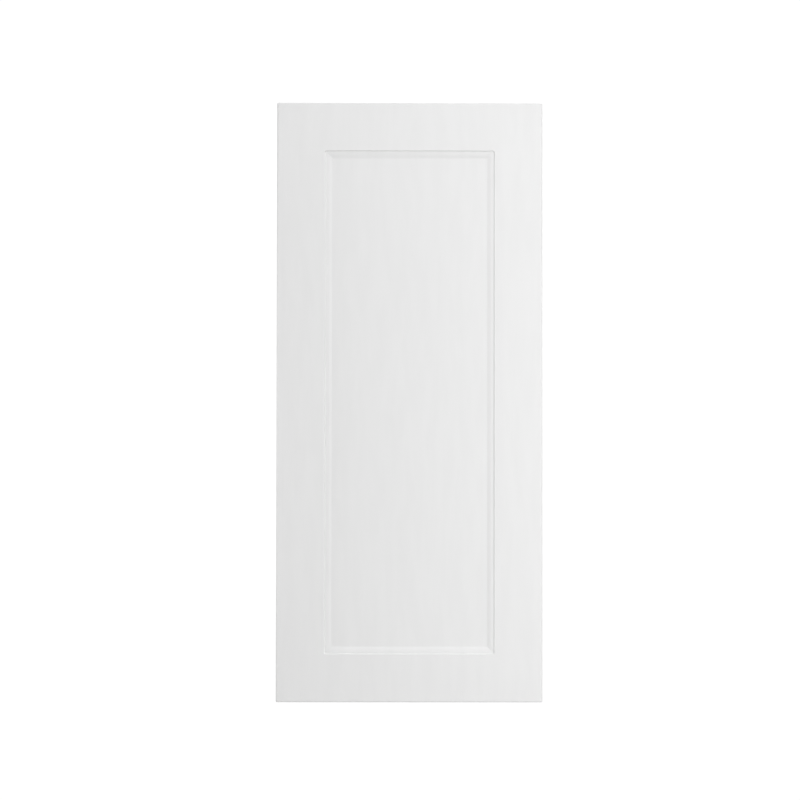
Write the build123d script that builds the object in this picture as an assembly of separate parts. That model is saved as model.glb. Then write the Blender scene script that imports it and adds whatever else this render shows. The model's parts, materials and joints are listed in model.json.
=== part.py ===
from build123d import *
from math import acos, degrees
import os

# A kitchen cabinet door, in millimetres. It is one board of fibreboard: a recessed panel and the
# moulding round it are routed into its front, and a thin white foil is pressed over the front and
# the four edges, so there is no joint between frame and panel. Its back is flat and faced white,
# and is bored for two concealed hinges.
#
# X runs across the door, Y through its thickness and Z up it. The front faces -Y. The origin is
# the middle of the back face.

# The board
door_width = 397.0
door_height = 895.0
door_thickness = 18.0
front_edge_radius = 2.5
back_edge_bevel = 0.5
outline_corner_radius = 2.0

# The recess: flat border from the door's outline to the moulding, and depth down to the panel
border_width = 71.7
recess_depth = 5.0

# The moulding, from the border inwards: a small step called a quirk, a rounded ovolo that starts
# parallel to the face, and a hollow cove that runs out into the panel
quirk_width = 2.1
quirk_depth = 2.4
quirk_wall_draft = 12.0
quirk_corner_radius = 3.0
quirk_root_radius = 0.5
arris_radius = 0.9
ovolo_radius = 15.0
cove_radius = 5.0

# The hinge borings in the back: a cup and two fixing holes for each hinge
hinge_cup_diameter = 35.0
hinge_cup_depth = 12.5
hinge_cup_to_side = 22.5
hinge_cup_to_end = 100.0
fixing_hole_diameter = 8.0
fixing_hole_depth = 11.0
fixing_hole_spacing = 45.0
fixing_hole_setback = 9.5

# How far a run or a cutter goes on past the surface that it ends at
overrun = 5.0

front = -door_thickness

# The planes that sections are drawn on. Local x goes across the door or up it, and local y goes
# through the thickness on both.
across_door = Plane.XY
up_door = Plane(origin=(0, 0, 0), x_dir=(0, 0, 1), z_dir=(-1, 0, 0))

# The front and back faces, each with local x across the door, local y up or down it and local z
# going into the board
into_front = Plane(origin=(0, front, 0), x_dir=(1, 0, 0), z_dir=(0, 1, 0))
into_back = Plane(origin=(0, 0, 0), x_dir=(1, 0, 0), z_dir=(0, -1, 0))


def run_both_ways(section):
    """The solid with section(width) across the door and section(height) up it.

    Each section is run past the other's ends, and only what both hold is kept, so wherever two
    runs of an edge or a moulding meet at a corner they form a mitre by themselves.
    """
    run_up = extrude(across_door * section(door_width), door_height / 2 + overrun, both=True)
    run_across = extrude(up_door * section(door_height), door_width / 2 + overrun, both=True)
    return run_up & run_across


def board_section(span):
    """The board cut through: front edges rounded for the foil, back edges eased."""
    section = Rectangle(span, door_thickness, align=(Align.CENTER, Align.MAX))
    section = fillet(section.vertices().group_by(Axis.Y)[0], front_edge_radius)
    return chamfer(section.vertices().group_by(Axis.Y)[-1], back_edge_bevel)


def recess_section(span):
    """The space that the router clears inside the quirk: ovolo, cove and panel, open in front."""
    lip = span / 2 - border_width - quirk_width
    ovolo_drop = recess_depth - quirk_depth
    turn = degrees(acos(1 - ovolo_drop / (ovolo_radius + cove_radius)))
    mouth = Line((0, front - overrun), (-lip, front - overrun))
    side = Line(mouth @ 1, (-lip, front + quirk_depth))
    ovolo = JernArc(side @ 1, (1, 0), ovolo_radius, turn)
    cove = JernArc(ovolo @ 1, ovolo % 1, cove_radius, -turn)
    panel = Line(cove @ 1, (0, front + recess_depth))
    half = mouth + side + ovolo + cove + panel
    return make_face(half + mirror(half, Plane.YZ))


def board():
    """The blank: four rounded front edges, mitred, inside an outline with small corner radii."""
    outline = RectangleRounded(door_width, door_height, outline_corner_radius)
    prism = extrude(into_back * outline, door_thickness)
    return run_both_ways(board_section) & prism


def cut_quirk(blank):
    """Sinks the shallow tray whose wall is the quirk, and rounds its arris and its root."""
    opening = RectangleRounded(
        door_width - 2 * border_width, door_height - 2 * border_width, quirk_corner_radius
    )
    tray = extrude(into_front * opening, quirk_depth, taper=quirk_wall_draft)
    door = blank - tray
    floor = door.faces().filter_by(Axis.Y).group_by(Axis.Y)[1][0]
    door = fillet(floor.edges(), quirk_root_radius)
    face = door.faces().sort_by(Axis.Y)[0]
    return fillet(face.inner_wires()[0].edges(), arris_radius)


def hinge_boring():
    """One hinge's cup and fixing holes, on the back face with the cup at the origin."""
    cup = Cylinder(
        hinge_cup_diameter / 2, hinge_cup_depth + overrun, align=(Align.CENTER, Align.CENTER, Align.MIN)
    )
    fixing = Cylinder(
        fixing_hole_diameter / 2, fixing_hole_depth + overrun, align=(Align.CENTER, Align.CENTER, Align.MIN)
    )
    fixings = GridLocations(0, fixing_hole_spacing, 1, 2) * fixing
    return Pos(0, 0, -overrun) * (cup + Pos(fixing_hole_setback, 0, 0) * Compound(fixings))


def door_leaf():
    """The whole door: blank, quirk, mitred moulding with its panel, and hinge borings."""
    door = cut_quirk(board()) - run_both_ways(recess_section)
    cup_x = -door_width / 2 + hinge_cup_to_side
    cup_z = door_height / 2 - hinge_cup_to_end
    for end in (-1, 1):
        door -= into_back * Pos(cup_x, end * cup_z, 0) * hinge_boring()
    return door


os.makedirs("parts", exist_ok=True)
leaf = door_leaf()
leaf.label = "door_leaf"
export_step(leaf, "parts/door_leaf.step")
print("door_leaf: volume %.1f cm3" % (leaf.volume / 1000))
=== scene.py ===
# %% [markdown]
# # A foil-wrapped kitchen cabinet door
#
# The real door is one sheet of fibreboard. A router sinks a panel into its front and leaves a
# moulding round it, a white foil with a faint pressed woodgrain is drawn over the front and the four
# edges, and the flat back keeps its smooth factory facing. Two hinges are let into the back.
#
# The measured model comes first, as a fixed frame. Everything below is made in its coordinates, in
# metres: X across the door, Y through its thickness with the front facing -Y, Z up.

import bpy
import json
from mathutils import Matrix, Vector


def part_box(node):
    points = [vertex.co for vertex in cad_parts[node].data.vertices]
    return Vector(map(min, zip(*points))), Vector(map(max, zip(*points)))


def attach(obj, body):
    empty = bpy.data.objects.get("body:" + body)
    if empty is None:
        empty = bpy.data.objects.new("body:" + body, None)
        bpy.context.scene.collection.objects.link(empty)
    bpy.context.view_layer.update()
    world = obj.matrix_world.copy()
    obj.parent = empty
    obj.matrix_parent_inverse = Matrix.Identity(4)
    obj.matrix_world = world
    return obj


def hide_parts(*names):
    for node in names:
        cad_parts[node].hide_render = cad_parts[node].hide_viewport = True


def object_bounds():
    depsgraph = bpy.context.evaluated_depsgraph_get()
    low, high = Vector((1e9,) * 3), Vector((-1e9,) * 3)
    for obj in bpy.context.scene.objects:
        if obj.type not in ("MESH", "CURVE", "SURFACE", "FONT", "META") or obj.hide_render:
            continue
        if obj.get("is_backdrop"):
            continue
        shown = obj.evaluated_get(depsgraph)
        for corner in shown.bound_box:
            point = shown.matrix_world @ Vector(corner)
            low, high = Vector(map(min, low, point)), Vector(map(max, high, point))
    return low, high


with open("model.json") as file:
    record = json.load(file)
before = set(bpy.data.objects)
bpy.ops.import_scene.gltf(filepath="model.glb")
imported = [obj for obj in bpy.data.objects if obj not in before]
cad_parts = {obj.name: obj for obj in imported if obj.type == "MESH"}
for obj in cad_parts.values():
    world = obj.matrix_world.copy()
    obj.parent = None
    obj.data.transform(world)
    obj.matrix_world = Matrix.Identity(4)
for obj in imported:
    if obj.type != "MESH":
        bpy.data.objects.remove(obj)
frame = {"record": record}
cad_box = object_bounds()
print("measured box, m:", [round(side, 4) for side in cad_box[1] - cad_box[0]])

# %% Tools and units
import json
from math import acos, cos, degrees, pi, radians, sin, tan

import bmesh
import bpy
from mathutils import Matrix, Vector

mm = 0.001
low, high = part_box("door_leaf")
door_width = high.x - low.x
door_height = high.z - low.z
door_thickness = high.y - low.y
front = low.y
back = high.y
print("door %.0f x %.0f x %.0f mm" % (door_width / mm, door_height / mm, door_thickness / mm))

# %% [markdown]
# ## The section of the front
#
# Every line of the front is the door's own outline moved inwards and back: the rounded front edge,
# the small step called a quirk, the ovolo (the rounded part) and the cove, the hollow at its foot. So
# one section describes it all. It is a list of stations, and a station says how far in from the
# outline a line lies, how deep behind the front face, and how round its corners are in plan.
#
# A bevel modifier could round these edges too, but it rounds them all alike. Here each arc has the
# radius and the turn of the cutter that made it, so it is worked out from the same sizes that the
# measured model was built from.

# %% Sizes of the section
front_edge_radius = 2.5 * mm
back_edge_bevel = 0.5 * mm
outline_corner_radius = 2.0 * mm
border_width = 71.7 * mm
recess_depth = 5.0 * mm
quirk_width = 2.1 * mm
quirk_depth = 2.4 * mm
quirk_wall_draft = radians(12.0)
quirk_corner_radius = 3.0 * mm
quirk_root_radius = 0.5 * mm
arris_radius = 0.9 * mm
ovolo_radius = 15.0 * mm
cove_radius = 5.0 * mm


# %% Angles along an arc
edge_steps = 14
arris_steps = 8
root_steps = 6
ovolo_steps = 14
cove_steps = 8


def swing(first, last, steps):
    """The angles of an arc, evenly spaced, both ends included."""
    return [first + (last - first) * step / steps for step in range(steps + 1)]


print("the front edge turns %.1f degrees a step" % (90 / edge_steps))


# %% Stations from the back edge to the panel
def outer_stations():
    """Back bevel, side and rounded front edge."""
    stations = [
        (back_edge_bevel, door_thickness, outline_corner_radius - back_edge_bevel),
        (0.0, door_thickness - back_edge_bevel, outline_corner_radius),
    ]
    for angle in swing(0, pi / 2, edge_steps):
        inset = front_edge_radius * (1 - cos(angle))
        depth = front_edge_radius * (1 - sin(angle))
        stations.append((inset, depth, max(outline_corner_radius - inset, 0.0)))
    return stations


def quirk_stations():
    """Arris, leaning wall and root of the small step. Its plan corners shrink as it goes in."""
    turn = pi / 2 - quirk_wall_draft
    reach = tan(turn / 2)
    stations = []
    for angle in swing(0, turn, arris_steps):
        u = arris_radius * (sin(angle) - reach)
        stations.append((u, arris_radius * (1 - cos(angle))))
    foot = quirk_depth * tan(quirk_wall_draft)
    for angle in swing(turn, 0, root_steps):
        u = foot + quirk_root_radius * (reach - sin(angle))
        stations.append((u, quirk_depth - quirk_root_radius * (1 - cos(angle))))
    return [(border_width + u, depth, quirk_corner_radius - u) for u, depth in stations]


def ovolo_and_cove_stations():
    """The rounded moulding, then the hollow that runs out into the panel, mitred at the corners."""
    fall = recess_depth - quirk_depth
    turn = acos(1 - fall / (ovolo_radius + cove_radius))
    start = border_width + quirk_width
    run = (ovolo_radius + cove_radius) * sin(turn)
    stations = []
    for angle in swing(0, turn, ovolo_steps):
        depth = quirk_depth + ovolo_radius * (1 - cos(angle))
        stations.append((start + ovolo_radius * sin(angle), depth, 0.0))
    for angle in swing(turn, 0, cove_steps)[1:]:
        depth = recess_depth - cove_radius * (1 - cos(angle))
        stations.append((start + run - cove_radius * sin(angle), depth, 0.0))
    print("moulding %.1f mm wide, steepest slope %.0f degrees" % (
        (quirk_width + run) / mm, degrees(turn)))
    return stations


stations = outer_stations() + quirk_stations() + ovolo_and_cove_stations()
print(len(stations), "stations")

# %% [markdown]
# ## From stations to a closed skin
#
# Each station becomes a ring of points round the door, with a small arc at each corner, and each
# ring is joined to the next by quads. Where a station has no corner radius its arc shrinks to one
# point, and the points that fall together are merged: that point is on the mitre. The first ring is
# closed by the back face and the last by the panel, so the skin is watertight.

# %% Rings into a skin
corner_steps = 6
same_point = 0.001 * mm


def ring(inset, depth, radius):
    """The points of one station, anticlockwise seen from the front."""
    points = []
    for quarter, (side, end) in enumerate([(1, 1), (-1, 1), (-1, -1), (1, -1)]):
        middle_x = side * (door_width / 2 - inset - radius)
        middle_z = end * (door_height / 2 - inset - radius)
        for angle in swing(quarter * pi / 2, (quarter + 1) * pi / 2, corner_steps):
            points.append((middle_x + radius * cos(angle), front + depth, middle_z + radius * sin(angle)))
    return points


def skin_of(stations):
    """The whole door as one closed mesh, still without its hinge borings."""
    mesh = bmesh.new()
    rings = [[mesh.verts.new(point) for point in ring(*station)] for station in stations]
    for outer, inner in zip(rings, rings[1:]):
        for here in range(len(outer)):
            there = (here + 1) % len(outer)
            mesh.faces.new((outer[here], outer[there], inner[there], inner[here]))
    mesh.faces.new(reversed(rings[0]))
    mesh.faces.new(rings[-1])
    bmesh.ops.remove_doubles(mesh, verts=mesh.verts, dist=same_point)
    bmesh.ops.recalc_face_normals(mesh, faces=mesh.faces)
    return mesh


skin = skin_of(stations)
open_edges = [edge for edge in skin.edges if not edge.is_manifold]
print(len(skin.verts), "points,", len(skin.faces), "faces,", len(open_edges), "open edges")

# %% [markdown]
# Shading is smooth wherever the real surface is, and breaks where two faces meet at an edge: the
# back bevel and the mitres. A mitre has to be marked along its whole length, also where the slope is
# still so gentle that an angle limit would miss it.

# %% Mark what is crisp
crisp_angle = radians(30)
slack = 0.01 * mm


def on_mitre(edge):
    """True for an edge of the moulding that lies on a diagonal through a corner."""
    spans = [abs(edge.verts[0].co[axis] - edge.verts[1].co[axis]) for axis in (0, 2)]
    inset = door_width / 2 - min(abs(vert.co.x) for vert in edge.verts)
    past_quirk = inset > border_width + quirk_width - slack
    return past_quirk and abs(spans[0] - spans[1]) < same_point


for face in skin.faces:
    face.smooth = True
for edge in skin.edges:
    edge.smooth = edge.calc_face_angle(0) < crisp_angle and not on_mitre(edge)
door_mesh = bpy.data.meshes.new("door")
skin.to_mesh(door_mesh)
skin.free()
door = bpy.data.objects.new("door", door_mesh)
bpy.context.scene.collection.objects.link(door)
print(sum(edge.use_edge_sharp for edge in door_mesh.edges), "crisp edges")

# %% [markdown]
# ## The hinge borings
#
# A real shop drills the back with one machine stroke a hinge: a wide cup and two narrow fixing
# holes. The cup's bit has a small point that keeps it from wandering, and it leaves a dimple in the
# middle of the cup's floor.
#
# The same is done here with a Boolean modifier. Each cutter is turned like the bit itself: a list of
# rings, each a radius and a depth under the back face. The cutters carry the raw board's material, so
# the walls and floors of the holes take it over as they are cut. The places and radii come from the
# record's mounts.

# %% Cut the borings
fixing_hole_depth = 11.0 * mm
point_radius = 1.5 * mm
point_depth = 1.0 * mm
tip_radius = 0.1 * mm
past_face = 2.0 * mm
bore_sides = 96


def drill_bit(mesh, x, z, outline):
    """A turned cutter. Its outline is a list of (radius, depth under the back face)."""
    rings = []
    for radius, depth in outline:
        around = swing(0, 2 * pi, bore_sides)[:-1]
        rings.append([
            mesh.verts.new((x + radius * cos(angle), back - depth, z + radius * sin(angle)))
            for angle in around
        ])
    for upper, lower in zip(rings, rings[1:]):
        for here in range(bore_sides):
            there = (here + 1) % bore_sides
            mesh.faces.new((upper[here], lower[here], lower[there], upper[there]))
    mesh.faces.new(rings[0])
    mesh.faces.new(reversed(rings[-1]))


mounts = {mount["name"]: mount for mount in frame["record"]["mounts"]}
bits = bmesh.new()
for hinge in ("upper", "lower"):
    cup = mounts["hinge_cup_" + hinge]
    radius = cup["dims"]["r_mm"] * mm
    floor_depth = cup["dims"]["length_mm"] * mm
    point = [(point_radius, floor_depth), (tip_radius, floor_depth + point_depth)]
    outline = [(radius, -past_face), (radius, floor_depth)] + point
    drill_bit(bits, cup["pos_m"][0], cup["pos_m"][2], outline)
    screws = mounts["hinge_screws_" + hinge]
    radius = screws["dims"]["hole_r_mm"] * mm
    for side in (-1, 1):
        height = screws["pos_m"][2] + side * screws["dims"]["spacing_y_mm"] * mm / 2
        drill_bit(bits, screws["pos_m"][0], height, [(radius, -past_face), (radius, fixing_hole_depth)])
bmesh.ops.recalc_face_normals(bits, faces=bits.faces)
bits_mesh = bpy.data.meshes.new("drill_bits")
bits.to_mesh(bits_mesh)
bits.free()
drill = bpy.data.objects.new("drill_bits", bits_mesh)
bpy.context.scene.collection.objects.link(drill)
print(len(bits_mesh.polygons), "faces on the drill bits")


# %% [markdown]
# ## Sums on sockets
#
# A finish is a small calculation that runs at every point of the surface, and it reads best as one.
# The class below wraps an output socket, so that Python's own signs add Math nodes and `1 - mask`
# means what it says. Any other node comes from its one method: the node's type, its settings, and
# then what goes into its sockets.

# %% A socket that Python can do sums with
class Signal:
    """A value on its way through a finish."""

    def __init__(self, tree, socket=None):
        self.tree = tree
        self.socket = socket

    def node(self, kind, settings=None, sockets=None, out=0):
        """Adds a node to the same tree and gives back one of its outputs."""
        made = self.tree.nodes.new(kind)
        for name, value in (settings or {}).items():
            setattr(made, name, value)
        for name, value in (sockets or {}).items():
            into = pick(made.inputs, name)
            if isinstance(value, Signal):
                self.tree.links.new(value.socket, into)
            else:
                into.default_value = value
        return Signal(self.tree, pick(made.outputs, out)) if made.outputs else None

    def maths(self, operation, first, second):
        return self.node("ShaderNodeMath", {"operation": operation}, {0: first, 1: second})

    def __add__(self, other):
        return self.maths("ADD", self, other)

    def __radd__(self, other):
        return self.maths("ADD", other, self)

    def __sub__(self, other):
        return self.maths("SUBTRACT", self, other)

    def __rsub__(self, other):
        return self.maths("SUBTRACT", other, self)

    def __mul__(self, other):
        return self.maths("MULTIPLY", self, other)

    def __rmul__(self, other):
        return self.maths("MULTIPLY", other, self)

    def __abs__(self):
        return self.maths("ABSOLUTE", self, 0.0)


def pick(sockets, name):
    """A node's socket by number or name. A Mix node has several of one name, and uses one."""
    if isinstance(name, int):
        return sockets[name]
    return next(socket for socket in sockets if socket.name == name and socket.enabled)


# %% Helpers for finishes
def rise(value, low, high):
    """0 below low, 1 above high and a smooth slope between."""
    return value.node(
        "ShaderNodeMapRange",
        {"interpolation_type": "SMOOTHSTEP"},
        {"Value": value, "From Min": low, "From Max": high},
    )


def blend(mask, plain, other):
    """One colour where the mask is 0, the other where it is 1."""
    return mask.node(
        "ShaderNodeMix",
        {"data_type": "RGBA"},
        {"Factor": mask, "A": (*plain, 1.0), "B": (*other, 1.0)},
        out="Result",
    )


def start_finish(name):
    """An empty material, and a Signal to begin its nodes from."""
    material = bpy.data.materials.new(name)
    material.use_nodes = True
    material.node_tree.nodes.clear()
    return material, Signal(material.node_tree)


def close_finish(colour, roughness, height, strength, distance):
    """The shader: colour and roughness as given, and the relief through a Bump node."""
    bump = height.node(
        "ShaderNodeBump", None, {"Strength": strength, "Distance": distance, "Height": height}
    )
    shader = colour.node(
        "ShaderNodeBsdfPrincipled",
        None,
        {"Base Color": colour, "Roughness": roughness, "Normal": bump},
    )
    shader.node("ShaderNodeOutputMaterial", None, {"Surface": shader})


# %% [markdown]
# ## The pressed white foil
#
# The foil is white all through, with a satin sheen and a woodgrain that an engraved roller pressed
# into it: long shallow streaks that wander a little, finer lines in them, and short pores. It runs up
# the door over border, moulding and panel alike, which is how one can tell that the door is one
# board. A picture of wood would have colour in it. Here nearly all of the grain is relief and a
# change of sheen, so noise stretched along the height does better: it has no seams, and it goes on
# over every edge.
#
# One number says where a point lies across the foil. It is x on the front, and on the two long edges
# it goes on with the thickness, as the foil does when it is drawn round them. A slow, wide noise
# shifts it a little to either side, so that the streaks wander.

# %% Noise drawn out into grain
def grain(across, along, width, length, detail, seed):
    """Noise with features so wide across the foil and so long up it. It runs from 0 to 1."""
    place = across.node(
        "ShaderNodeCombineXYZ", None, {0: across * (1 / width), 1: along * (1 / length), 2: seed}
    )
    return place.node(
        "ShaderNodeTexNoise", None, {"Vector": place, "Scale": 1.0, "Detail": detail, "Roughness": 0.55}
    )


# %% The foil's finish
foil_white = (0.872, 0.872, 0.872)
foil_shade = (0.858, 0.858, 0.858)
drift = 34 * mm

foil_material, foil = start_finish("pressed_white_foil")
place = foil.node("ShaderNodeTexCoord", out="Object")
x, y, z = (foil.node("ShaderNodeSeparateXYZ", None, {0: place}, out=axis) for axis in range(3))
on_long_edge = rise(abs(x), door_width / 2 - front_edge_radius, door_width / 2)
wander = grain(x, z, width=80 * mm, length=220 * mm, detail=1.0, seed=3.0) - 0.5
across = x + on_long_edge * (y - front) + wander * drift
streaks = grain(across, z, width=17 * mm, length=105 * mm, detail=1.5, seed=0.0)
lines = grain(across, z, width=3.0 * mm, length=55 * mm, detail=1.0, seed=5.0)
pricks = grain(across, z, width=0.6 * mm, length=15 * mm, detail=0.0, seed=9.0)
pores = rise(pricks - 0.16 * streaks, low=0.52, high=0.64)
tone = rise(streaks * 0.75 + lines * 0.25, low=0.32, high=0.68)
close_finish(
    colour=blend(tone, foil_shade, foil_white),
    roughness=0.42 + pores * 0.10 - tone * 0.04,
    height=streaks * 0.6 + lines * 0.4 - pores * 0.5,
    strength=0.5,
    distance=0.08 * mm,
)
print("foil has", len(foil_material.node_tree.nodes), "nodes")

# %% [markdown]
# ## The back and the bare board
#
# The back is the board's own factory facing: a little greyer than the foil, smooth, with a faint
# orange peel and no grain. Inside the borings the drill has left bare fibreboard, brown and rough. The
# two are separate materials on faces of the same mesh, because on the real door they are separate
# surfaces with a crisp line between them.

# %% The facing on the back
pale_grey = (0.80, 0.80, 0.79)
paler_grey = (0.83, 0.83, 0.82)

facing_material, facing = start_finish("smooth_back_facing")
place = facing.node("ShaderNodeTexCoord", out="Object")
peel = facing.node("ShaderNodeTexNoise", None, {"Vector": place, "Scale": 220.0, "Detail": 2.0})
cloud = facing.node("ShaderNodeTexNoise", None, {"Vector": place, "Scale": 5.0, "Detail": 1.0})
close_finish(
    colour=blend(cloud, pale_grey, paler_grey),
    roughness=0.46 + cloud * 0.08,
    height=peel,
    strength=0.3,
    distance=0.02 * mm,
)
print("facing has", len(facing_material.node_tree.nodes), "nodes")

# %% Bare fibreboard
dark_fibre = (0.30, 0.19, 0.10)
light_fibre = (0.52, 0.37, 0.22)

board_material, board = start_finish("bare_fibreboard")
place = board.node("ShaderNodeTexCoord", out="Object")
fibre = board.node("ShaderNodeTexNoise", None, {"Vector": place, "Scale": 900.0, "Detail": 4.0})
close_finish(
    colour=blend(rise(fibre, low=0.3, high=0.7), dark_fibre, light_fibre),
    roughness=0.80 + fibre * 0.1,
    height=fibre,
    strength=0.6,
    distance=0.1 * mm,
)
print("bare board has", len(board_material.node_tree.nodes), "nodes")

# %% Materials on faces
foil_face, back_facing, bare_board = 0, 1, 2
squarely_back = 0.99
wall_limit = 0.5
for material in (foil_material, facing_material, board_material):
    door_mesh.materials.append(material)
    bits_mesh.materials.append(material)
for face in door_mesh.polygons:
    face.material_index = back_facing if face.normal.y > squarely_back else foil_face
for face in bits_mesh.polygons:
    face.material_index = bare_board
    face.use_smooth = abs(face.normal.y) < wall_limit
print(len(door_mesh.materials), "materials on the door")

# %% Drill, smooth and hand over to the frame
cut = door.modifiers.new("borings", "BOOLEAN")
cut.object = drill
cut.operation = "DIFFERENCE"
cut.solver = "EXACT"
cut.material_mode = "INDEX"
weigh = door.modifiers.new("flat faces win", "WEIGHTED_NORMAL")
weigh.mode = "FACE_AREA"
weigh.weight = 100
weigh.keep_sharp = True
finished = bpy.data.meshes.new_from_object(door.evaluated_get(bpy.context.evaluated_depsgraph_get()))
door.modifiers.clear()
door.data = finished
bpy.data.objects.remove(drill)
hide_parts("door_leaf")
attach(door, "root")
print("finished door has", len(finished.polygons), "faces")

# %% [markdown]
# ## Surround and softboxes
#
# The photograph is a catalogue shot: the door hangs in blank white, and no shadow or floor shows. So
# the camera sees plain white wherever it misses the door, while the door itself is lit by a dimmer
# surround, dark straight below and brighter the higher it is.
#
# A flat face shows only how bright its light is, but a moulding shows where it comes from: every slope
# that faces a lamp turns light and the one across from it dark. So a tall strip stands on the right, a
# wide box above, and a small one close by on the left, which lifts the wall of the quirk. A narrow
# strip in front evens out the flats. None of them shows in the picture, because a lamp can be hidden
# from the camera and still shine. The last one stands behind the door and lights its back.

# %% The white surround
scene = bpy.context.scene
scene.view_settings.view_transform = "Standard"
world = bpy.data.worlds.new("white_studio")
scene.world = world
world.use_nodes = True
world.node_tree.nodes.clear()
sky = Signal(world.node_tree)

surround = 0.430
seen_white = 1.05
towards = sky.node("ShaderNodeTexCoord", out="Generated")
to_above = sky.node("ShaderNodeSeparateXYZ", None, {0: towards}, out="Z")
light = surround * (1 + to_above)
lit = sky.node("ShaderNodeBackground", None, {"Color": (1, 1, 1, 1), "Strength": light})
white = sky.node("ShaderNodeBackground", None, {"Color": (1, 1, 1, 1), "Strength": seen_white})
by_camera = sky.node("ShaderNodeLightPath", out="Is Camera Ray")
both = sky.node("ShaderNodeMixShader", None, {0: by_camera, 1: lit, 2: white})
sky.node("ShaderNodeOutputWorld", None, {"Surface": both})
print("surround gives %.2f of white at eye level" % surround)


# %% Softboxes
def softbox(name, place, width, height, brightness):
    """A rectangle of light aimed at the door's middle. Brightness is what its face would show."""
    lamp = bpy.data.lights.new(name, "AREA")
    lamp.shape = "RECTANGLE"
    lamp.size = width
    lamp.size_y = height
    lamp.energy = brightness * pi * width * height
    box = bpy.data.objects.new(name, lamp)
    box.location = place
    box.rotation_euler = (-Vector(place)).to_track_quat("-Z", "Y").to_euler()
    box.visible_camera = False
    scene.collection.objects.link(box)
    print("%s: %.1f W" % (name, lamp.energy))


softbox("strip_on_right", (0.568, -0.506, 0.010), 0.21, 1.22, 2.61)
softbox("box_above", (0.005, -0.411, 0.620), 0.93, 0.54, 0.54)
softbox("box_on_left", (-0.778, -0.172, -0.027), 0.26, 0.44, 2.99)
softbox("strip_in_front", (0.095, -1.278, -0.235), 0.24, 1.97, 2.06)
softbox("box_behind", (0.500, 2.200, 0.800), 1.00, 1.40, 4.00)

# %% [markdown]
# ## The floor
#
# A plain pale floor lies well below the door, out of the camera's view. Seen from other sides it
# should have no edge, so its colour fades to nothing towards the rim by a Mix Shader with a
# transparent one.

# %% A pale floor that fades out
floor_drop = 1.2
floor_radius = 2.4
fade_start = 0.3 * floor_radius
fade_end = 0.98 * floor_radius
floor_mesh = bpy.data.meshes.new("floor")
disc = bmesh.new()
bmesh.ops.create_circle(disc, cap_ends=True, segments=96, radius=floor_radius)
disc.to_mesh(floor_mesh)
disc.free()
floor = bpy.data.objects.new("floor", floor_mesh)
floor.location.z = -floor_drop
scene.collection.objects.link(floor)

floor_material, ground = start_finish("pale_floor")
place = ground.node("ShaderNodeTexCoord", out="Object")
from_middle = ground.node("ShaderNodeVectorMath", {"operation": "LENGTH"}, {0: place}, out="Value")
cloud = ground.node("ShaderNodeTexNoise", None, {"Vector": place, "Scale": 3.0, "Detail": 3.0})
matt = ground.node(
    "ShaderNodeBsdfPrincipled",
    None,
    {"Base Color": blend(cloud, pale_grey, paler_grey), "Roughness": 0.9},
)
clear = ground.node("ShaderNodeBsdfTransparent")
fade = rise(from_middle, fade_start, fade_end)
faded = ground.node("ShaderNodeMixShader", None, {0: fade, 1: matt, 2: clear})
ground.node("ShaderNodeOutputMaterial", None, {"Surface": faded})
floor_mesh.materials.append(floor_material)
floor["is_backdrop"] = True
print("floor %.2f m below the door's lowest edge" % (floor_drop + low.z))

# %% [markdown]
# ## Camera
#
# A long lens, four metres off and a little below and to the left of the door's middle: the
# photograph's outline narrows very slightly upwards and to one side, and this is the place from
# which it does so without any lens shift.

# %% Camera
camera_data = bpy.data.cameras.new("camera")
camera = bpy.data.objects.new("camera", camera_data)
scene.collection.objects.link(camera)
scene.camera = camera
camera_data.sensor_width = 36.0
camera_data.lens = 120.711
eye = Vector((-0.0553, -4.018, -0.1115))
aim = Vector((-0.0142, -0.018, 0.0025))
roll = radians(0.0787)
turn = (aim - eye).to_track_quat("-Z", "Y").to_matrix().to_4x4()
camera.matrix_world = Matrix.Translation(eye) @ turn @ Matrix.Rotation(roll, 4, "Z")
print("camera %.2f m from the door, %.0f mm lens" % ((aim - eye).length, camera_data.lens))

# %% Compare the two boxes
shown_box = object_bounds()
gap = max(abs(a - b) for cad, shown in zip(cad_box, shown_box) for a, b in zip(cad, shown))
print("the two boxes differ by %.3f mm at most" % (gap / mm))
